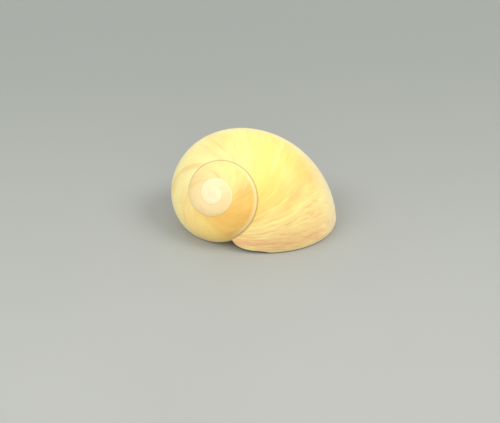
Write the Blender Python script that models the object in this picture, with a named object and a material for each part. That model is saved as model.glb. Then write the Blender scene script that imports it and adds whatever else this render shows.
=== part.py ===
"""A periwinkle shell: one coiled piece, hollow from its mouth inwards, lying on the rim of its mouth.

The wall is an egg-shaped section that turns about the shell's axis while it grows and sinks away
from the apex. Angles run the way the shell grows, clockwise as seen from the apex. The section has
the sizes below where the angle is nought, and the lip stops a third of a turn before that. A place
on the section is an angle round it: nought at its outermost point, a quarter turn at its lowest.
"""

import bpy
import numpy as np
from math import ceil, cos, pi, radians, sin

TURN = 2 * pi

# Growth
WHORL_RATIO = 2.095            # width of a whorl over that of the whorl before it
DOMING = 2.0                   # depth grows as the width to this power, which gives a low domed spire
TURNS = 3.5                    # turns from the apex to the lip
LIP_ANGLE = radians(-116.0)    # where the upper end of the lip stops

# The whorl's section, a tilted egg, in metres from the axis and below the apex
CENTRE_RADIUS = 0.00508
CENTRE_DEPTH = 0.01341
HALF_WIDTH = 0.00588
HALF_HEIGHT = 0.01117
SECTION_TILT = radians(15.9)   # the top of the egg leans towards the axis
SECTION_TAPER = 0.224          # how much narrower the egg is at its lower end

# A gentle swelling of the wall shortly before the lip
BULGE = 0.10
BULGE_ANGLE = 0.98             # how far before the lip it is greatest
BULGE_RUN = 0.46
BULGE_PLACE = 0.08

# The coil is slightly off round: fuller on one side, and a little oval
SKEW = 0.046
SKEW_HEADING = 2.24
OVALITY = 0.042
OVAL_HEADING = 0.0

# The base of the last whorl runs down to one foot on the axis, which closes the shell underneath
FOOT_DEPTH = 0.00861
FOOT_PLACE = 0.3               # the base starts to run down from this place on
FOOT_CURVE = 2.92              # how late it does so

# The lip falls behind from the suture outwards, as growth lines do
LIP_LAG = 0.44
LIP_LAG_SPREAD = 0.6
LIP_LAG_RUN = pi               # the mesh rows lean over gradually, from this far back

# The room inside follows the wall, and a smooth curve along the columella closes it
WALL = 0.00075
ROOM_TOP_PLACE = -1.0
ROOM_FOOT_PLACE = 2.1
COLUMELLA_TOP_PULL = (-0.0036, 0.0070)
COLUMELLA_FOOT_PULL = 0.0086
ROOM_TURNS = 0.85
ROOM_OVERRUN = 0.12            # the room's cutter runs on past the lip
ROOM_END = 1.2                 # angle over which its inner end closes

# How the shell lies
AXIS_CLIMB = radians(33.7)     # from the base to the apex
AXIS_HEADING = radians(-122.05)
LIP_HEADING = radians(-59.0)   # direction of the lip's upper end round the axis, from level
APEX = (-0.00362, -0.00319, 0.00480)  # from the middle of the footprint

# Mesh
STEPS_PER_TURN = 48
SPIRE_COLUMNS = 12
BASE_COLUMNS = 15
ROOM_WALL_COLUMNS = 14
ROOM_COLUMELLA_COLUMNS = 10
TABLE_SIZE = 0.06

SHELL_YELLOW = (0.90, 0.72, 0.27, 1.0)

AXIS = np.array([cos(AXIS_CLIMB) * cos(AXIS_HEADING), cos(AXIS_CLIMB) * sin(AXIS_HEADING), sin(AXIS_CLIMB)])
LEVEL = np.array([-sin(AXIS_HEADING), cos(AXIS_HEADING), 0.0])
UPHILL = np.cross(AXIS, LEVEL)


def section(place, inset=0.0):
    """Radius and depth of the egg at places round it."""
    across = (HALF_WIDTH - inset) * np.cos(place) * (1 - SECTION_TAPER * np.sin(place))
    down = (HALF_HEIGHT - inset) * np.sin(place)
    radius = CENTRE_RADIUS + across * cos(SECTION_TILT) + down * sin(SECTION_TILT)
    depth = CENTRE_DEPTH - across * sin(SECTION_TILT) + down * cos(SECTION_TILT)
    return radius, depth


def find_sutures():
    """Places on the egg of the suture above its whorl, and of the suture that the next whorl makes."""
    places = np.array([-1.1, 0.1])
    nudge = 1e-6

    def miss(pair):
        radius, depth = section(pair)
        return np.array([radius[0] - radius[1] / WHORL_RATIO, depth[0] - depth[1] / WHORL_RATIO ** DOMING])

    for _ in range(20):
        slope = np.column_stack([(miss(places + nudge * side) - miss(places)) / nudge for side in np.eye(2)])
        places = places - np.linalg.solve(slope, miss(places))
    return places


def find_axis_place():
    """Place on the egg's lower side where it meets the shell's axis."""
    near, far = pi / 2, pi
    for _ in range(50):
        middle = (near + far) / 2
        if section(middle)[0] > 0:
            near = middle
        else:
            far = middle
    return near


UPPER_SUTURE, LOWER_SUTURE = find_sutures()
AXIS_PLACE = find_axis_place()


def grow(angle, place, radius, depth):
    """Radius and depth that a section's points have once the shell has grown to an angle."""
    nearness = np.exp(-((angle - LIP_ANGLE + BULGE_ANGLE) / BULGE_RUN) ** 2)
    across = np.clip((place - UPPER_SUTURE) / (BULGE_PLACE - UPPER_SUTURE), 0, 2)
    swell = 1 + BULGE * nearness * np.sin(across * pi / 2) ** 2
    radius = np.maximum(CENTRE_RADIUS + (radius - CENTRE_RADIUS) * swell, 0)
    depth = CENTRE_DEPTH + (depth - CENTRE_DEPTH) * swell
    width = WHORL_RATIO ** (angle / TURN)
    return width * radius, width ** DOMING * depth


def in_space(angle, radius, depth):
    heading = LIP_HEADING - (angle - LIP_ANGLE)
    outward = np.outer(np.cos(heading), LEVEL) + np.outer(np.sin(heading), UPHILL)
    off_round = 1 + SKEW * np.cos(heading - SKEW_HEADING) + OVALITY * np.cos(2 * (heading - OVAL_HEADING))
    return APEX + (radius * off_round)[:, None] * outward - depth[:, None] * AXIS


def wall_points(angle, place):
    """Points of the outside, given as arrays of angles and places."""
    radius, depth = section(place)
    radius = np.where(place == AXIS_PLACE, 0.0, radius)
    radius, depth = grow(angle, place, radius, depth)
    axis_depth = WHORL_RATIO ** (DOMING * angle / TURN) * section(AXIS_PLACE)[1]
    share = np.clip((place - FOOT_PLACE) / (AXIS_PLACE - FOOT_PLACE), 0, 1) ** FOOT_CURVE
    return in_space(angle, radius, depth + (FOOT_DEPTH - axis_depth) * share)


def lagging(angle, place):
    """Angles of a mesh row, which takes on the lip's lag as it comes near the lip."""
    lag = LIP_LAG * (1 - np.cos(pi * np.clip((place - UPPER_SUTURE) / LIP_LAG_SPREAD, 0, 1))) / 2
    nearness = np.clip(1 + (angle - LIP_ANGLE) / LIP_LAG_RUN, 0, 1)
    return angle - lag * nearness


def coil_mesh():
    """The outside as one closed surface: whorls that share their sutures, then the last whorl down
    to the foot on the axis, a cap at the apex and an end where the lip stops."""
    last = ceil(TURNS * STEPS_PER_TURN)
    whorl_start = last - STEPS_PER_TURN
    whorl_columns = SPIRE_COLUMNS + BASE_COLUMNS
    spire_places = np.linspace(UPPER_SUTURE, LOWER_SUTURE, SPIRE_COLUMNS + 1)
    base_places = np.linspace(LOWER_SUTURE, AXIS_PLACE, BASE_COLUMNS + 1)[1:]
    places = np.concatenate([spire_places, base_places])

    points = []
    index = {}
    for row in range(last + 1):
        columns = whorl_columns if row >= whorl_start else SPIRE_COLUMNS
        own = np.arange(columns + 1)
        if row >= STEPS_PER_TURN:
            index[row, 0] = index[row - STEPS_PER_TURN, SPIRE_COLUMNS]
            own = own[1:]
        angle = LIP_ANGLE + (row - last) * TURN / STEPS_PER_TURN
        row_places = places[own]
        for column, point in zip(own, wall_points(lagging(angle, row_places), row_places)):
            if column == whorl_columns and row > whorl_start:
                index[row, column] = index[whorl_start, column]
                continue
            index[row, column] = len(points)
            points.append(point)

    faces = []
    for row in range(last):
        columns = whorl_columns if row >= whorl_start else SPIRE_COLUMNS
        for column in range(columns):
            corners = [(row, column), (row + 1, column), (row + 1, column + 1), (row, column + 1)]
            faces.append(list(dict.fromkeys(index[corner] for corner in corners)))

    apex_ring = [index[0, column] for column in range(SPIRE_COLUMNS, 0, -1)]
    apex_ring += [index[row, 0] for row in range(STEPS_PER_TURN + 1)]
    faces += fan(apex_ring[::-1], len(points))
    points.append(np.array(APEX))

    end_ring = [index[whorl_start, column] for column in range(SPIRE_COLUMNS, whorl_columns)]
    end_ring += [index[last, column] for column in range(whorl_columns, -1, -1)]
    faces += fan(end_ring, len(points))
    end_angle = np.array([LIP_ANGLE - LIP_LAG / 2])
    width = WHORL_RATIO ** (end_angle / TURN)
    points += list(in_space(end_angle, width * CENTRE_RADIUS, width ** DOMING * CENTRE_DEPTH))
    return points, faces


def fan(ring, centre):
    """Triangles from a ring to its centre. The ring's first and last points are the same."""
    return [[centre, ring[step], ring[step + 1]] for step in range(len(ring) - 1)]


def room_outline():
    """Places, radii and depths round the room: along the wall, then up the columella."""
    wall_places = np.linspace(ROOM_TOP_PLACE, ROOM_FOOT_PLACE, ROOM_WALL_COLUMNS)
    wall = np.column_stack(section(wall_places, WALL))
    top, foot = wall[0], wall[-1]
    onward = foot - np.array(section(ROOM_FOOT_PLACE - 0.01, WALL))
    foot_handle = foot + COLUMELLA_FOOT_PULL * onward / np.hypot(*onward)
    top_handle = top + np.array(COLUMELLA_TOP_PULL)
    share = np.linspace(0, 1, ROOM_COLUMELLA_COLUMNS + 2)[1:-1]
    rest = 1 - share
    weights = [rest ** 3, 3 * rest ** 2 * share, 3 * rest * share ** 2, share ** 3]
    columella = sum(np.outer(weight, end) for weight, end in zip(weights, [foot, foot_handle, top_handle, top]))
    columella_places = ROOM_FOOT_PLACE + share * (ROOM_TOP_PLACE + TURN - ROOM_FOOT_PLACE)
    outline = np.vstack([wall, columella])
    return np.concatenate([wall_places, columella_places]), outline[:, 0], outline[:, 1]


def room_mesh():
    """The room as one closed tube, from past the lip to its rounded inner end."""
    places, radii, depths = room_outline()
    count = len(places)
    middle_radius, middle_depth = radii.mean(), depths.mean()
    inner = LIP_ANGLE - ROOM_TURNS * TURN
    step = TURN / STEPS_PER_TURN
    points = []
    faces = []
    for row, angle in enumerate(np.arange(LIP_ANGLE + ROOM_OVERRUN, inner, -step)):
        opened = min(1.0, (angle - inner) / ROOM_END)
        shrink = np.sqrt(1 - (1 - opened) ** 2)
        ring_radii = middle_radius + (radii - middle_radius) * shrink
        ring_depths = middle_depth + (depths - middle_depth) * shrink
        angles = np.full(count, angle)
        points += list(in_space(angles, *grow(angles, places, ring_radii, ring_depths)))
        if row > 0:
            start = row * count
            ahead = start - count
            for column in range(count):
                other = (column + 1) % count
                faces.append([ahead + column, ahead + other, start + other, start + column])
    faces.append(list(range(count))[::-1])
    faces.append(list(range(len(points) - count, len(points))))
    return points, faces


def table_mesh():
    """A block whose top is the flat surface that the mouth lies on."""
    half = TABLE_SIZE / 2
    points = [(x, y, z) for z in (-half, 0.0) for y in (-half, half) for x in (-half, half)]
    faces = [[0, 2, 3, 1], [4, 5, 7, 6], [0, 1, 5, 4], [1, 3, 7, 5], [3, 2, 6, 7], [2, 0, 4, 6]]
    return points, faces


def add_object(name, points, faces):
    mesh = bpy.data.meshes.new(name)
    mesh.from_pydata([tuple(point) for point in points], [], faces)
    mesh.update()
    obj = bpy.data.objects.new(name, mesh)
    bpy.context.collection.objects.link(obj)
    return obj


def cut_away(obj, name, points, faces):
    """Takes a closed shape out of an object with a Boolean that stays live."""
    cutter = add_object(name, points, faces)
    cutter.hide_render = True
    cutter.display_type = "WIRE"
    modifier = obj.modifiers.new(name, "BOOLEAN")
    modifier.operation = "DIFFERENCE"
    modifier.solver = "EXACT"
    modifier.object = cutter


def shell_material():
    material = bpy.data.materials.new("shell")
    material.use_nodes = True
    shader = material.node_tree.nodes["Principled BSDF"]
    shader.inputs["Base Color"].default_value = SHELL_YELLOW
    shader.inputs["Roughness"].default_value = 0.45
    shader.inputs["Metallic"].default_value = 0.0
    return material


def main():
    for obj in list(bpy.data.objects):
        bpy.data.objects.remove(obj, do_unlink=True)
    shell = add_object("shell", *coil_mesh())
    shell.data.materials.append(shell_material())
    cut_away(shell, "table_cut", *table_mesh())
    cut_away(shell, "room_cut", *room_mesh())
    shell.data.shade_smooth()
    shell.data.set_sharp_from_angle(angle=radians(40))


main()
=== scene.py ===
"""The looks of a periwinkle shell that lies mouth down on a pale floor.

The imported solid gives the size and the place. The shell shown is the same coil with a finer surface,
a softened lip and two materials, one for the outside and one for the room inside.
Angles run the way the shell grows, clockwise as seen from the apex. A place is an angle round the
whorl's section: nought at its outermost point, a quarter turn at its lowest.
"""

from math import ceil, cos, pi, radians, sin

import bpy
import numpy as np
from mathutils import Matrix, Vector


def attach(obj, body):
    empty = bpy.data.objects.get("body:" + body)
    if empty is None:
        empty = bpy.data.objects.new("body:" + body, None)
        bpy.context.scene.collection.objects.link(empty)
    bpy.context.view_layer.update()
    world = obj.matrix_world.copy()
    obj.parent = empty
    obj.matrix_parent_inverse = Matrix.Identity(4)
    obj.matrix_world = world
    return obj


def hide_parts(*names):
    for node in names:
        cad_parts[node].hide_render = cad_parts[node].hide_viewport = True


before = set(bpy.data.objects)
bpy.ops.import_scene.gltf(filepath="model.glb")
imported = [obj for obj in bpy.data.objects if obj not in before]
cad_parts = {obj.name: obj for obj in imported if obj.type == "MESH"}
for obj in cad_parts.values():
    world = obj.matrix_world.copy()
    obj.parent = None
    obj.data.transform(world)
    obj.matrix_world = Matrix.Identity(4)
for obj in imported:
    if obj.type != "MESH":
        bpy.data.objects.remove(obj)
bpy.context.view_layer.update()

TURN = 2 * pi

# Growth
WHORL_RATIO = 2.095            # width of a whorl over that of the whorl before it
DOMING = 2.0                   # depth grows as the width to this power
TURNS = 3.5                    # turns from the apex to the lip
LIP_ANGLE = radians(-116.0)

# The whorl's section, a tilted egg, in metres from the axis and below the apex
CENTRE_RADIUS = 0.00508
CENTRE_DEPTH = 0.01341
HALF_WIDTH = 0.00588
HALF_HEIGHT = 0.01117
SECTION_TILT = radians(15.9)
SECTION_TAPER = 0.224

# A gentle swelling of the wall shortly before the lip
BULGE = 0.10
BULGE_ANGLE = 0.98             # how far before the lip it is greatest
BULGE_RUN = 0.46
BULGE_PLACE = 0.08

# The coil is slightly off round: fuller on one side, and a little oval
SKEW = 0.046
SKEW_HEADING = 2.24
OVALITY = 0.042
OVAL_HEADING = 0.0

# The base runs down to one foot on the axis
FOOT_DEPTH = 0.00861
FOOT_PLACE = 0.3
FOOT_CURVE = 2.92

# The lip falls behind from the suture outwards, and so do all growth lines
LIP_LAG = 0.44
LIP_LAG_SPREAD = 0.6
LIP_LAG_RUN = pi

# Growth lines, which are only colour, fall behind further than the lip's own edge does
LINE_LAG = 1.04
LINE_LAG_SPREAD = 0.65

# The room inside
WALL = 0.00075
ROOM_TOP_PLACE = -1.0
ROOM_FOOT_PLACE = 2.1
COLUMELLA_TOP_PULL = (-0.0036, 0.0070)
COLUMELLA_FOOT_PULL = 0.0086
ROOM_TURNS = 0.85
ROOM_OVERRUN = 0.12
ROOM_END = 1.2                 # angle over which the inner end rounds off
FOOT_STEP = 0.01               # small step that gives the wall's direction where the columella begins

# How the shell lies
AXIS_CLIMB = radians(33.7)
AXIS_HEADING = radians(-122.05)
LIP_HEADING = radians(-59.0)
APEX = (-0.00362, -0.00319, 0.00480)

# Mesh
STEPS_PER_TURN = 240
SPIRE_COLUMNS = 28
BASE_COLUMNS = 60
ROOM_STEPS_PER_TURN = 144
ROOM_WALL_COLUMNS = 40
ROOM_COLUMELLA_COLUMNS = 28
TABLE_SIZE = 0.06
FLOOR_SIZE = 1.2
SHARP_ANGLE = radians(50)      # edges that turn by more than this stay sharp

# The rim's outer edge curves in, over the last part of a turn before the lip
EDGE_DEPTH = 0.00008           # how far it is drawn in at the floor
EDGE_HEIGHT = 0.00030          # how high up that fades out
EDGE_TURNS = 0.42

# Camera, from where the photograph was taken
CAMERA_CLIMB = radians(32.0)
CAMERA_DISTANCE = 0.1622
CAMERA_LENS = 136.8
SENSOR_WIDTH = 36.0
CLIP_START = 0.001
AIM_RIGHT = 0.003176           # what the camera looks at, from the apex
AIM_UP = -0.001537
SHELL_MIDDLE = (0.0, 0.0, 0.004)

# How finely the sutures and the axis are looked for
SOLVE_STEPS = 20
HALVINGS = 50
NUDGE = 1e-6

AXIS = np.array([cos(AXIS_CLIMB) * cos(AXIS_HEADING), cos(AXIS_CLIMB) * sin(AXIS_HEADING), sin(AXIS_CLIMB)])
LEVEL = np.array([-sin(AXIS_HEADING), cos(AXIS_HEADING), 0.0])
UPHILL = np.cross(AXIS, LEVEL)


def section(place, inset=0.0):
    """Radius and depth of the egg at places round it."""
    across = (HALF_WIDTH - inset) * np.cos(place) * (1 - SECTION_TAPER * np.sin(place))
    down = (HALF_HEIGHT - inset) * np.sin(place)
    radius = CENTRE_RADIUS + across * cos(SECTION_TILT) + down * sin(SECTION_TILT)
    depth = CENTRE_DEPTH - across * sin(SECTION_TILT) + down * cos(SECTION_TILT)
    return radius, depth


def find_sutures():
    """Places on the egg of the suture above its whorl, and of the suture that the next whorl makes."""
    first_guess = [-1.1, 0.1]
    places = np.array(first_guess)

    def miss(pair):
        radius, depth = section(pair)
        return np.array([radius[0] - radius[1] / WHORL_RATIO, depth[0] - depth[1] / WHORL_RATIO ** DOMING])

    for _ in range(SOLVE_STEPS):
        slope = np.column_stack([(miss(places + NUDGE * side) - miss(places)) / NUDGE
                                 for side in np.eye(2)])
        places = places - np.linalg.solve(slope, miss(places))
    return places


def find_axis_place():
    """Place on the egg's lower side where it meets the shell's axis."""
    near, far = pi / 2, pi
    for _ in range(HALVINGS):
        middle = (near + far) / 2
        if section(middle)[0] > 0:
            near = middle
        else:
            far = middle
    return near


UPPER_SUTURE, LOWER_SUTURE = find_sutures()
AXIS_PLACE = find_axis_place()


def grow(angle, place, radius, depth):
    """Radius and depth that a section's points have once the shell has grown to an angle."""
    nearness = np.exp(-((angle - LIP_ANGLE + BULGE_ANGLE) / BULGE_RUN) ** 2)
    across = np.clip((place - UPPER_SUTURE) / (BULGE_PLACE - UPPER_SUTURE), 0, 2)
    swell = 1 + BULGE * nearness * np.sin(across * pi / 2) ** 2
    radius = np.maximum(CENTRE_RADIUS + (radius - CENTRE_RADIUS) * swell, 0)
    depth = CENTRE_DEPTH + (depth - CENTRE_DEPTH) * swell
    width = WHORL_RATIO ** (angle / TURN)
    return width * radius, width ** DOMING * depth


def in_space(angle, radius, depth):
    """Points in the object's own frame, from arrays of angles, radii and depths."""
    heading = LIP_HEADING - (angle - LIP_ANGLE)
    outward = np.outer(np.cos(heading), LEVEL) + np.outer(np.sin(heading), UPHILL)
    off_round = 1 + SKEW * np.cos(heading - SKEW_HEADING) + OVALITY * np.cos(2 * (heading - OVAL_HEADING))
    return APEX + (radius * off_round)[:, None] * outward - depth[:, None] * AXIS


def wall_points(angle, place):
    """Points of the outside, given as arrays of angles and places."""
    radius, depth = section(place)
    radius = np.where(place == AXIS_PLACE, 0.0, radius)
    radius, depth = grow(angle, place, radius, depth)
    axis_depth = WHORL_RATIO ** (DOMING * angle / TURN) * section(AXIS_PLACE)[1]
    share = np.clip((place - FOOT_PLACE) / (AXIS_PLACE - FOOT_PLACE), 0, 1) ** FOOT_CURVE
    return in_space(angle, radius, depth + (FOOT_DEPTH - axis_depth) * share)


def lagging(angle, place):
    """Angles of a mesh row, which takes on the lip's lag as it comes near the lip."""
    lag = LIP_LAG * (1 - np.cos(pi * np.clip((place - UPPER_SUTURE) / LIP_LAG_SPREAD, 0, 1))) / 2
    nearness = np.clip(1 + (angle - LIP_ANGLE) / LIP_LAG_RUN, 0, 1)
    return angle - lag * nearness


def fan(ring, centre):
    """Triangles from a ring to its centre. The ring's first and last points are the same."""
    return [[centre, ring[step], ring[step + 1]] for step in range(len(ring) - 1)]


def growth_map(angle, place):
    """Where a point lies on the growing wall: turns before the lip along growth lines, and its place."""
    lag = LINE_LAG * (1 - np.exp((UPPER_SUTURE - place) / LINE_LAG_SPREAD))
    return (angle + lag - LIP_ANGLE) / TURN, place


def coil_mesh():
    """The outside as one closed surface, with its place on the growing wall for each face's corners."""
    last = ceil(TURNS * STEPS_PER_TURN)
    whorl_start = last - STEPS_PER_TURN
    whorl_columns = SPIRE_COLUMNS + BASE_COLUMNS
    spire_places = np.linspace(UPPER_SUTURE, LOWER_SUTURE, SPIRE_COLUMNS + 1)
    base_places = np.linspace(LOWER_SUTURE, AXIS_PLACE, BASE_COLUMNS + 1)[1:]
    places = np.concatenate([spire_places, base_places])

    points = []
    index = {}
    where = {}
    for row in range(last + 1):
        columns = whorl_columns if row >= whorl_start else SPIRE_COLUMNS
        own = np.arange(columns + 1)
        angles = lagging(LIP_ANGLE + (row - last) * TURN / STEPS_PER_TURN, places[own])
        turns, spots = growth_map(angles, places[own])
        to_lip = (row - last) / STEPS_PER_TURN
        row_points = wall_points(angles, places[own])
        for column in own:
            where[row, column] = (turns[column], spots[column], to_lip)
            if column == 0 and row >= STEPS_PER_TURN:
                index[row, column] = index[row - STEPS_PER_TURN, SPIRE_COLUMNS]
            elif column == whorl_columns and row > whorl_start:
                index[row, column] = index[whorl_start, column]
            else:
                index[row, column] = len(points)
                points.append(row_points[column])

    faces = []
    corners_where = []
    for row in range(last):
        columns = whorl_columns if row >= whorl_start else SPIRE_COLUMNS
        for column in range(columns):
            corners = [(row, column), (row + 1, column), (row + 1, column + 1), (row, column + 1)]
            distinct = {index[corner]: corner for corner in reversed(corners)}
            kept = [corner for corner in corners if distinct[index[corner]] == corner]
            faces.append([index[corner] for corner in kept])
            corners_where += [where[corner] for corner in kept]

    apex_ring = [index[0, column] for column in range(SPIRE_COLUMNS, 0, -1)]
    apex_ring += [index[row, 0] for row in range(STEPS_PER_TURN + 1)]
    apex_fan = fan(apex_ring[::-1], len(points))
    faces += apex_fan
    corners_where += [(-TURNS, UPPER_SUTURE, -TURNS)] * (3 * len(apex_fan))
    points.append(np.array(APEX))

    end_ring = [index[whorl_start, column] for column in range(SPIRE_COLUMNS, whorl_columns)]
    end_ring += [index[last, column] for column in range(whorl_columns, -1, -1)]
    end_fan = fan(end_ring, len(points))
    faces += end_fan
    corners_where += [(0.0, LOWER_SUTURE, 0.0)] * (3 * len(end_fan))
    end_angle = np.array([LIP_ANGLE - LIP_LAG / 2])
    width = WHORL_RATIO ** (end_angle / TURN)
    points += list(in_space(end_angle, width * CENTRE_RADIUS, width ** DOMING * CENTRE_DEPTH))

    near_lip = [index[row, column] for row in range(last - int(EDGE_TURNS * STEPS_PER_TURN), last + 1)
                for column in range(1, whorl_columns)]
    last_row = [index[last, column] for column in range(1, whorl_columns)]
    return np.array(points), faces, corners_where, near_lip, last_row


def room_outline():
    """Places, radii and depths round the room: along the wall, then up the columella."""
    wall_places = np.linspace(ROOM_TOP_PLACE, ROOM_FOOT_PLACE, ROOM_WALL_COLUMNS)
    wall = np.column_stack(section(wall_places, WALL))
    top, foot = wall[0], wall[-1]
    onward = foot - np.array(section(ROOM_FOOT_PLACE - FOOT_STEP, WALL))
    foot_handle = foot + COLUMELLA_FOOT_PULL * onward / np.hypot(*onward)
    top_handle = top + np.array(COLUMELLA_TOP_PULL)
    share = np.linspace(0, 1, ROOM_COLUMELLA_COLUMNS + 2)[1:-1]
    rest = 1 - share
    weights = [rest ** 3, 3 * rest ** 2 * share, 3 * rest * share ** 2, share ** 3]
    ends = [foot, foot_handle, top_handle, top]
    columella = sum(np.outer(weight, end) for weight, end in zip(weights, ends))
    columella_places = ROOM_FOOT_PLACE + share * (ROOM_TOP_PLACE + TURN - ROOM_FOOT_PLACE)
    outline = np.vstack([wall, columella])
    return np.concatenate([wall_places, columella_places]), outline[:, 0], outline[:, 1]


def room_mesh():
    """The room as one closed tube, from past the lip to its rounded inner end."""
    places, radii, depths = room_outline()
    count = len(places)
    middle_radius, middle_depth = radii.mean(), depths.mean()
    inner = LIP_ANGLE - ROOM_TURNS * TURN
    step = TURN / ROOM_STEPS_PER_TURN
    points = []
    where = []
    for angle in np.arange(LIP_ANGLE + ROOM_OVERRUN, inner, -step):
        opened = min(1.0, (angle - inner) / ROOM_END)
        shrink = np.sqrt(1 - (1 - opened) ** 2)
        ring_radii = middle_radius + (radii - middle_radius) * shrink
        ring_depths = middle_depth + (depths - middle_depth) * shrink
        angles = np.full(count, angle)
        points += list(in_space(angles, *grow(angles, places, ring_radii, ring_depths)))
        to_lip = (angle - LIP_ANGLE) / TURN
        where += [(to_lip, place, to_lip) for place in places]
    faces = []
    for start in range(count, len(points), count):
        ahead = start - count
        for column in range(count):
            other = (column + 1) % count
            faces.append([ahead + column, ahead + other, start + other, start + column])
    faces.append(list(range(count))[::-1])
    faces.append(list(range(len(points) - count, len(points))))
    corners_where = [where[corner] for face in faces for corner in face]
    return np.array(points), faces, corners_where


def table_mesh():
    """A block whose top is the floor's surface."""
    half = TABLE_SIZE / 2
    points = [(x, y, z) for z in (-half, 0.0) for y in (-half, half) for x in (-half, half)]
    faces = [[0, 2, 3, 1], [4, 5, 7, 6], [0, 1, 5, 4], [1, 3, 7, 5], [3, 2, 6, 7], [2, 0, 4, 6]]
    return np.array(points), faces, [(0.0, 0.0, -TURNS)] * (4 * len(faces))


def add_object(name, points, faces, corners_where, material):
    """An object whose face corners know their growth turns and place, and their turns to the lip."""
    mesh = bpy.data.meshes.new(name)
    mesh.from_pydata(points.tolist(), [], faces)
    where = np.array(corners_where, dtype=np.float32)
    growth = mesh.uv_layers.new(name="growth")
    growth.data.foreach_set("uv", where[:, :2].ravel())
    to_lip = mesh.uv_layers.new(name="to_lip")
    to_lip.data.foreach_set("uv", where[:, [2, 2]].ravel())
    mesh.materials.append(material)
    mesh.update()
    obj = bpy.data.objects.new(name, mesh)
    bpy.context.collection.objects.link(obj)
    return obj


def round_lip(obj, near_lip, last_row):
    """Draws the outer surface in a little where it comes to the floor, and at the lip's free edge."""
    mesh = obj.data
    count = len(mesh.vertices)
    points = np.empty(count * 3, dtype=np.float32)
    normals = np.empty(count * 3, dtype=np.float32)
    mesh.vertices.foreach_get("co", points)
    mesh.vertices.foreach_get("normal", normals)
    points = points.reshape(-1, 3)
    normals = normals.reshape(-1, 3)
    height = np.clip(points[:, 2] / EDGE_HEIGHT, 0, 1)
    draw_in = np.zeros(count)
    draw_in[near_lip] = EDGE_DEPTH * (1 - height[near_lip]) ** 2
    draw_in[last_row] = EDGE_DEPTH
    points -= normals * draw_in[:, None]
    mesh.vertices.foreach_set("co", points.ravel())
    mesh.update()


def cut_away(obj, cutter):
    """Takes a closed shape out of an object with a Boolean, applies it and drops the cutter."""
    modifier = obj.modifiers.new(cutter.name, "BOOLEAN")
    modifier.operation = "DIFFERENCE"
    modifier.solver = "MANIFOLD"
    modifier.material_mode = "TRANSFER"
    modifier.object = cutter
    cut = bpy.data.meshes.new_from_object(obj.evaluated_get(bpy.context.evaluated_depsgraph_get()))
    obj.modifiers.remove(modifier)
    old = obj.data
    obj.data = cut
    bpy.data.meshes.remove(old)
    bpy.data.objects.remove(cutter, do_unlink=True)


class Nodes:
    """Short forms for building a material's node tree."""

    def __init__(self, name):
        self.material = bpy.data.materials.new(name)
        self.material.use_nodes = True
        self.tree = self.material.node_tree
        self.shader = self.tree.nodes["Principled BSDF"]

    def add(self, kind, inputs=None, **settings):
        node = self.tree.nodes.new("ShaderNode" + kind)
        for name, value in settings.items():
            setattr(node, name, value)
        for socket, value in (inputs or {}).items():
            self.feed(node.inputs[socket], value)
        return node

    def feed(self, socket, value):
        if isinstance(value, bpy.types.NodeSocket):
            self.tree.links.new(value, socket)
        else:
            socket.default_value = value

    def set_shader(self, values):
        """Feeds the shader's own sockets, given by name."""
        for socket, value in values.items():
            self.feed(self.shader.inputs[socket], value)

    def maths(self, operation, first, second=0.0):
        return self.add("Math", {0: first, 1: second}, operation=operation).outputs[0]

    def plus(self, first, second):
        return self.maths("ADD", first, second)

    def times(self, first, second):
        return self.maths("MULTIPLY", first, second)

    def larger(self, first, second):
        return self.maths("MAXIMUM", first, second)

    def between(self, value, low, high):
        """Nought below low, one above high, smooth between them. The two may be in either order."""
        inputs = {"Value": value, "From Min": low, "From Max": high, "To Min": 0.0, "To Max": 1.0}
        return self.add("MapRange", inputs, interpolation_type="SMOOTHSTEP").outputs["Result"]

    def mix(self, share, first, second):
        node = self.add("Mix", data_type="RGBA")
        factor, start, end = node.inputs[0], node.inputs[6], node.inputs[7]
        self.feed(factor, share)
        self.feed(start, first)
        self.feed(end, second)
        return node.outputs[2]

    def ramp(self, value, stops):
        node = self.add("ValToRGB", {"Fac": value})
        elements = node.color_ramp.elements
        for spot, tint in stops[1:-1]:
            elements.new(spot)
        for element, (spot, tint) in zip(elements, stops):
            element.position = spot
            element.color = tint
        return node.outputs["Color"]

    def noise(self, vector, scale, detail, roughness=0.5):
        inputs = {"Vector": vector, "Scale": scale, "Detail": detail, "Roughness": roughness}
        return self.add("TexNoise", inputs, noise_dimensions="3D").outputs["Fac"]

    def position(self):
        return self.add("TexCoord").outputs["Object"]

    def axis(self, vector, name):
        return self.add("SeparateXYZ", {"Vector": vector}).outputs[name]

    def uv(self, layer):
        return self.add("UVMap", uv_map=layer).outputs["UV"]

    def noise_along(self, turns, place, per_turn, per_place, detail, roughness=0.5):
        """Noise drawn out along the growth lines."""
        inputs = {"X": self.times(turns, per_turn), "Y": self.times(place, per_place)}
        stretched = self.add("CombineXYZ", inputs).outputs["Vector"]
        return self.noise(stretched, 1.0, detail, roughness)


def colour(red, green, blue):
    """A display colour, 0 to 255 each, as the linear values that a shader takes, by the sRGB curve."""
    values = []
    for part in (red, green, blue):
        share = part / 255
        values.append(share / 12.92 if share <= 0.04045 else ((share + 0.055) / 1.055) ** 2.4)
    return (*values, 1.0)


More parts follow.
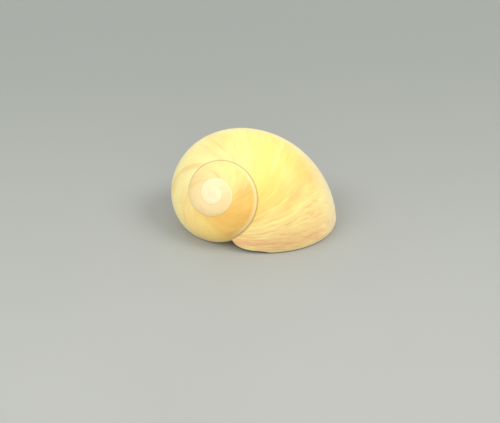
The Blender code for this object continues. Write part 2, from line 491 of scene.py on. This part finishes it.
# Colours of the wall by turns before the lip
GROWTH_COLOURS = [
    (-3.5, colour(252, 238, 192)),
    (-2.6, colour(251, 233, 184)),
    (-2.3, colour(250, 227, 174)),
    (-2.1, colour(246, 217, 158)),
    (-1.75, colour(250, 224, 168)),
    (-1.5, colour(246, 215, 146)),
    (-1.3, colour(248, 220, 136)),
    (-1.19, colour(247, 214, 128)),
    (-1.08, colour(240, 192, 94)),
    (-0.95, colour(241, 190, 93)),
    (-0.83, colour(248, 206, 115)),
    (-0.72, colour(251, 220, 141)),
    (-0.6, colour(252, 231, 157)),
    (-0.46, colour(249, 226, 148)),
    (-0.3, colour(249, 224, 134)),
    (-0.22, colour(248, 224, 118)),
    (-0.17, colour(246, 212, 108)),
    (-0.12, colour(246, 206, 112)),
    (-0.08, colour(249, 220, 136)),
    (-0.045, colour(251, 215, 140)),
    (-0.02, colour(248, 202, 138)),
    (0.0, colour(244, 190, 135)),
]
PALE_LEMON = colour(252, 238, 150)
# cream of the suture bands, also used as painted light on the down-facing flank
CREAM_TONE_AND_LIGHT = colour(250, 230, 176)
OCHRE = colour(226, 168, 80)
ROSE = colour(217, 146, 100)
# painted shade for the suture's crease
SUTURE_SHADE_BROWN = colour(150, 112, 54)
# painted highlight for the lip's edge
LIP_HIGHLIGHT_CREAM = colour(250, 222, 170)
# painted contact shadow for the rim's foot
CONTACT_SHADOW_BROWN = colour(112, 72, 38)
MOUTH_CREAM = colour(250, 226, 168)
ROOM_DEPTH_SHADE_BROWN = colour(196, 138, 84)
# painted shade for the deep part of the room
ROOM_CLOUD = colour(255, 238, 196)
FLOOR_NEAR = (colour(166, 167, 160), colour(174, 175, 168))
# painted shade: the floor's colour further back
FLOOR_FAR_SHADE = colour(147, 150, 143)

# The wide pale streaks where growth paused: turns before the lip, half width in turns, strength
PALE_STREAKS = [
    (-0.300, 0.022, 0.45),
    (-0.203, 0.010, 0.75),
    (-0.160, 0.005, 0.35),
    (-0.115, 0.005, 0.55),
    (-0.096, 0.004, 0.45),
    (-0.072, 0.006, 0.6),
    (-0.050, 0.003, 0.5),
]

# Noise scales, per metre
RIPPLE_SCALE = 420.0
PATCH_SCALE = 300.0
STREAK_BREAK_SCALE = 260.0
GRAIN_SCALE = 2600.0
FLOOR_SCALE = 40.0

# Noise drawn out along the growth lines, per turn and per radian of place
CLOUD_DENSITY = (14.0, 0.8)
LINE_DENSITY = (110.0, 3.0)
ROOM_DENSITY = (30.0, 1.0)

# How far the ripple moves the growth lines, in turns
RIPPLE = 0.018

# How strongly each marking covers what is under it
PALE_CLOUD_COVER = 0.35
OCHRE_CLOUD_COVER = 0.4
PATCH_COVER = 0.3
LINE_COVER = 0.16
LIP_LINE_COVER = 0.55
ROSE_PART = 0.65               # of the fine lines' cover, for the rosy ones
SUTURE_BAND_COVER = 0.6
# painted shade line in the suture's crease
SUTURE_SHADE_COVER = 0.42
OLD_SUTURE_SHADE_COVER = 0.1
# partly painted light that lifts the down-facing flank
FLANK_TONE_AND_LIGHT_COVER = 0.55
# painted highlight along the lip's edge
LIP_HIGHLIGHT_COVER = 0.7
# painted contact shadow under the rim
CONTACT_SHADOW_COVER = 0.85
ROOM_CLOUD_COVER = 0.35

# The relief of the growth lines and the grain
RELIEF_STRENGTH = 0.4
RELIEF_DEPTH = 0.00008
OLD_LINE_RELIEF = 0.35
GRAIN_RELIEF = 0.12

# The way light spreads under the surface, red furthest
SCATTER = (1.0, 0.7, 0.35)

# Each pair from here on says where something begins to show and where it shows in full.
# Levels of a noise, which runs from nought to one
PALE_CLOUDS = (0.5, 0.75)
OCHRE_CLOUDS = (0.48, 0.28)
PATCHES = (0.55, 0.8)
STREAK_BREAKS = (0.35, 0.6)
PALE_LINES = (0.52, 0.66)
ROSY_LINES = (0.48, 0.34)
ROOM_CLOUDS = (0.45, 0.7)

# Turns before the lip, counted as negative
CLOUDED_TURNS = (-2.3, -1.1)
LIP_SIDE_TURNS = (-0.15, -0.02)
COVERED_TURNS = (-0.86, -0.93)     # the next whorl covers this one's lower part
YOUNG_UNDER_TURNS = (-0.78, -0.56)
YOUNG_OVER_TURNS = (-1.69, -1.47)
# where the flank is made paler, partly as painted light
FLANK_LIP_TURNS = (-0.4, -0.08)
FLANK_START_TURNS = (-0.55, -0.7)
RIM_TURNS = (-0.5, -0.45)
# where the painted highlight along the lip's free edge shows
LIP_HIGHLIGHT_TURNS = (-0.006, -0.002)
ROOM_SHADE_TURNS = (-0.02, -0.4)

# Places round the section
SUTURE_BAND = (LOWER_SUTURE - 0.32, LOWER_SUTURE - 0.12)
# where the painted shade line lies, below and above the suture
SUTURE_UNDER = (UPPER_SUTURE + 0.035, UPPER_SUTURE + 0.008)
SUTURE_OVER = (LOWER_SUTURE - 0.02, LOWER_SUTURE - 0.003)
FLANK_PLACES = (-0.15, 0.45)

# Heights above the floor, and distances along it from front to back, in metres
# heights of the painted highlight low on the rim
RIM_HIGHLIGHT_HEIGHTS = (0.00044, 0.00022)
# heights of the painted contact shadow at the rim's foot
CONTACT_SHADOW_HEIGHTS = (0.00015, 0.00005)
FLOOR_SHADE_REACH = (-0.03, 0.04)


def add_clouds(nodes, base, turns, wavy_turns, place):
    """Broad pale and ochre clouds along the growth lines, which fade on the oldest whorls."""
    broad = nodes.noise_along(wavy_turns, place, *CLOUD_DENSITY, 2.0)
    young = nodes.between(turns, *CLOUDED_TURNS)
    pale = nodes.times(nodes.between(broad, *PALE_CLOUDS), nodes.times(young, PALE_CLOUD_COVER))
    base = nodes.mix(pale, base, PALE_LEMON)
    dark = nodes.times(nodes.between(broad, *OCHRE_CLOUDS), nodes.times(young, OCHRE_CLOUD_COVER))
    base = nodes.mix(dark, base, OCHRE)
    patches = nodes.noise(nodes.position(), PATCH_SCALE, 3.0)
    return nodes.mix(nodes.times(nodes.between(patches, *PATCHES), PATCH_COVER), base, PALE_LEMON)


def add_streaks(nodes, base, wavy_turns):
    """Pale streaks, stronger and weaker along their length."""
    breaks = nodes.between(nodes.noise(nodes.position(), STREAK_BREAK_SCALE, 1.0), *STREAK_BREAKS)
    for turn, half_width, strength in PALE_STREAKS:
        distance = nodes.maths("ABSOLUTE", nodes.maths("SUBTRACT", wavy_turns, turn))
        streak = nodes.times(nodes.between(distance, half_width, 0.0), strength)
        base = nodes.mix(nodes.times(streak, breaks), base, PALE_LEMON)
    return base


def add_fine_lines(nodes, base, fine, lip_side):
    """Fine growth lines, stronger towards the lip."""
    cover = nodes.plus(nodes.times(lip_side, LIP_LINE_COVER), LINE_COVER)
    base = nodes.mix(nodes.times(nodes.between(fine, *PALE_LINES), cover), base, PALE_LEMON)
    rosy_cover = nodes.times(cover, ROSE_PART)
    return nodes.mix(nodes.times(nodes.between(fine, *ROSY_LINES), rosy_cover), base, ROSE)


def add_suture(nodes, base, turns, place):
    """The cream band above each suture, and a thin brown line in the suture's crease, fainter on the older
    turns: the line is painted shade of the crease.
    """
    covered = nodes.between(turns, *COVERED_TURNS)
    band = nodes.between(place, *SUTURE_BAND)
    base = nodes.mix(nodes.times(nodes.times(band, covered), SUTURE_BAND_COVER), base, CREAM_TONE_AND_LIGHT)
    # painted shade: a thin brown line in the suture's crease
    under_line = nodes.between(place, *SUTURE_UNDER)
    over_line = nodes.times(nodes.between(place, *SUTURE_OVER), covered)
    young_under = nodes.times(under_line, nodes.between(turns, *YOUNG_UNDER_TURNS))
    young_over = nodes.times(over_line, nodes.between(turns, *YOUNG_OVER_TURNS))
    line = nodes.times(nodes.larger(young_under, young_over), SUTURE_SHADE_COVER)
    faint = nodes.times(nodes.larger(under_line, over_line), OLD_SUTURE_SHADE_COVER)
    return nodes.mix(nodes.plus(line, faint), base, SUTURE_SHADE_BROWN)


def add_flank_tone_and_light(nodes, base, turns, place):
    """The flank is paler towards the lip, and where the last turn begins: partly its own paler tone, partly
    painted light that lifts the shade where the wall faces down, away from the lamps.
    """
    near_lip = nodes.between(turns, *FLANK_LIP_TURNS)
    near_start = nodes.between(turns, *FLANK_START_TURNS)
    flank = nodes.times(nodes.between(place, *FLANK_PLACES), nodes.larger(near_lip, near_start))
    return nodes.mix(nodes.times(flank, FLANK_TONE_AND_LIGHT_COVER), base, CREAM_TONE_AND_LIGHT)


def paint_rim_highlight_and_shadow(nodes, base, turns):
    """A painted highlight along the lip's edge and low on the rim, and a painted brown contact shadow where
    the rim meets the floor.
    """
    height = nodes.axis(nodes.position(), "Z")
    last_part = nodes.between(turns, *RIM_TURNS)
    # painted highlight: pale cream low on the rim and along the lip's free edge
    low = nodes.times(nodes.between(height, *RIM_HIGHLIGHT_HEIGHTS), last_part)
    to_lip = nodes.axis(nodes.uv("to_lip"), "X")
    edge = nodes.larger(low, nodes.between(to_lip, *LIP_HIGHLIGHT_TURNS))
    base = nodes.mix(nodes.times(edge, LIP_HIGHLIGHT_COVER), base, LIP_HIGHLIGHT_CREAM)
    # painted contact shadow: brown on the lowest part of the rim, where it meets the floor
    contact_shadow = nodes.times(nodes.between(height, *CONTACT_SHADOW_HEIGHTS), last_part)
    return nodes.mix(nodes.times(contact_shadow, CONTACT_SHADOW_COVER), base, CONTACT_SHADOW_BROWN)


def outside_material():
    nodes = Nodes("shell_outside")
    growth = nodes.uv("growth")
    turns, place = nodes.axis(growth, "X"), nodes.axis(growth, "Y")
    ripple = nodes.noise(nodes.position(), RIPPLE_SCALE, 2.0)
    wavy_turns = nodes.plus(turns, nodes.times(nodes.maths("SUBTRACT", ripple, 0.5), RIPPLE))
    fine = nodes.noise_along(wavy_turns, place, *LINE_DENSITY, 3.0, 0.6)
    lip_side = nodes.between(turns, *LIP_SIDE_TURNS)

    age = nodes.plus(nodes.maths("DIVIDE", wavy_turns, TURNS), 1.0)
    base = nodes.ramp(age, [(1 + turn / TURNS, tint) for turn, tint in GROWTH_COLOURS])
    base = add_clouds(nodes, base, turns, wavy_turns, place)
    base = add_streaks(nodes, base, wavy_turns)
    base = add_fine_lines(nodes, base, fine, lip_side)
    base = add_suture(nodes, base, turns, place)
    base = add_flank_tone_and_light(nodes, base, turns, place)
    base = paint_rim_highlight_and_shadow(nodes, base, turns)

    grain = nodes.noise(nodes.position(), GRAIN_SCALE, 3.0)
    line_relief = nodes.times(fine, nodes.plus(lip_side, OLD_LINE_RELIEF))
    relief = nodes.plus(line_relief, nodes.times(grain, GRAIN_RELIEF))
    bump = nodes.add("Bump", {"Height": relief, "Strength": RELIEF_STRENGTH, "Distance": RELIEF_DEPTH})
    nodes.set_shader({
        "Base Color": base,
        "Roughness": nodes.plus(nodes.times(grain, 0.2), 0.36),
        "Normal": bump.outputs["Normal"],
        "Subsurface Weight": 0.3,
        "Subsurface Radius": SCATTER,
        "Subsurface Scale": 0.0010,
        "Sheen Weight": 0.45,
        "Sheen Roughness": 0.35,
    })
    return nodes.material


def inside_material():
    nodes = Nodes("shell_inside")
    growth = nodes.uv("growth")
    turns, place = nodes.axis(growth, "X"), nodes.axis(growth, "Y")
    # painted shade: darker brown deeper into the room, away from the mouth
    base = nodes.mix(nodes.between(turns, *ROOM_SHADE_TURNS), MOUTH_CREAM, ROOM_DEPTH_SHADE_BROWN)
    cloud = nodes.noise_along(turns, place, *ROOM_DENSITY, 3.0)
    base = nodes.mix(nodes.times(nodes.between(cloud, *ROOM_CLOUDS), ROOM_CLOUD_COVER), base, ROOM_CLOUD)
    nodes.set_shader({
        "Base Color": base,
        "Roughness": 0.22,
        "Subsurface Weight": 0.2,
        "Subsurface Radius": SCATTER,
        "Subsurface Scale": 0.0008,
    })
    return nodes.material


def make_shell():
    outside = outside_material()
    inside = inside_material()
    points, faces, corners_where, near_lip, last_row = coil_mesh()
    shell = add_object("periwinkle", points, faces, corners_where, outside)
    round_lip(shell, near_lip, last_row)
    cut_away(shell, add_object("table", *table_mesh(), outside))
    cut_away(shell, add_object("room", *room_mesh(), inside))
    shell.data.shade_smooth()
    shell.data.set_sharp_from_angle(angle=SHARP_ANGLE)
    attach(shell, "root")
    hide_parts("shell")


def make_floor():
    """A plain pale floor that runs far past the view, with painted shade that darkens it further away, as
    if the light fell off towards the back.
    """
    nodes = Nodes("floor")
    # painted shade: darker towards the back
    far = nodes.between(nodes.axis(nodes.position(), "Y"), *FLOOR_SHADE_REACH)
    near = nodes.mix(nodes.noise(nodes.position(), FLOOR_SCALE, 2.0), *FLOOR_NEAR)
    nodes.set_shader({"Base Color": nodes.mix(far, near, FLOOR_FAR_SHADE), "Roughness": 0.6})
    half = FLOOR_SIZE / 2
    corners = [(-half, -half, 0), (half, -half, 0), (half, half, 0), (-half, half, 0)]
    mesh = bpy.data.meshes.new("floor")
    mesh.from_pydata(corners, [], [[0, 1, 2, 3]])
    mesh.materials.append(nodes.material)
    floor = bpy.data.objects.new("floor", mesh)
    bpy.context.collection.objects.link(floor)


def add_light(name, place, size, power, tint):
    """A round, soft light that faces the shell."""
    data = bpy.data.lights.new(name, "AREA")
    data.shape = "DISK"
    data.size = size
    data.energy = power
    data.color = tint
    lamp = bpy.data.objects.new(name, data)
    lamp.location = place
    lamp.rotation_euler = (Vector(SHELL_MIDDLE) - Vector(place)).to_track_quat("-Z", "Y").to_euler()
    bpy.context.collection.objects.link(lamp)


def light_scene():
    """Two soft lights from above, a weak one from the front, and an even sky."""
    add_light("light_right", (0.30, -0.05, 0.37), 0.24, 1.0, (1.0, 0.985, 0.96))
    add_light("light_left", (-0.28, -0.10, 0.37), 0.26, 0.8, (0.98, 0.99, 1.0))
    add_light("light_front", (0.04, -0.40, 0.13), 0.24, 0.22, (1.0, 0.97, 0.92))
    world = bpy.data.worlds.new("soft")
    world.use_nodes = True
    background = world.node_tree.nodes["Background"]
    background.inputs["Color"].default_value = (0.95, 0.97, 1.0, 1.0)
    background.inputs["Strength"].default_value = 0.77
    bpy.context.scene.world = world
    bpy.context.scene.view_settings.view_transform = "Standard"


def place_camera():
    data = bpy.data.cameras.new("camera")
    data.sensor_width = SENSOR_WIDTH
    data.lens = CAMERA_LENS
    data.clip_start = CLIP_START
    camera = bpy.data.objects.new("camera", data)
    apex = Vector(APEX)
    up = Vector((0.0, sin(CAMERA_CLIMB), cos(CAMERA_CLIMB)))
    back = Vector((0.0, -cos(CAMERA_CLIMB), sin(CAMERA_CLIMB)))
    camera.location = apex + CAMERA_DISTANCE * back
    target = apex + Vector((AIM_RIGHT, 0.0, 0.0)) + AIM_UP * up
    camera.rotation_euler = (target - camera.location).to_track_quat("-Z", "Y").to_euler()
    bpy.context.collection.objects.link(camera)
    bpy.context.scene.camera = camera


make_shell()
make_floor()
light_scene()
place_camera()
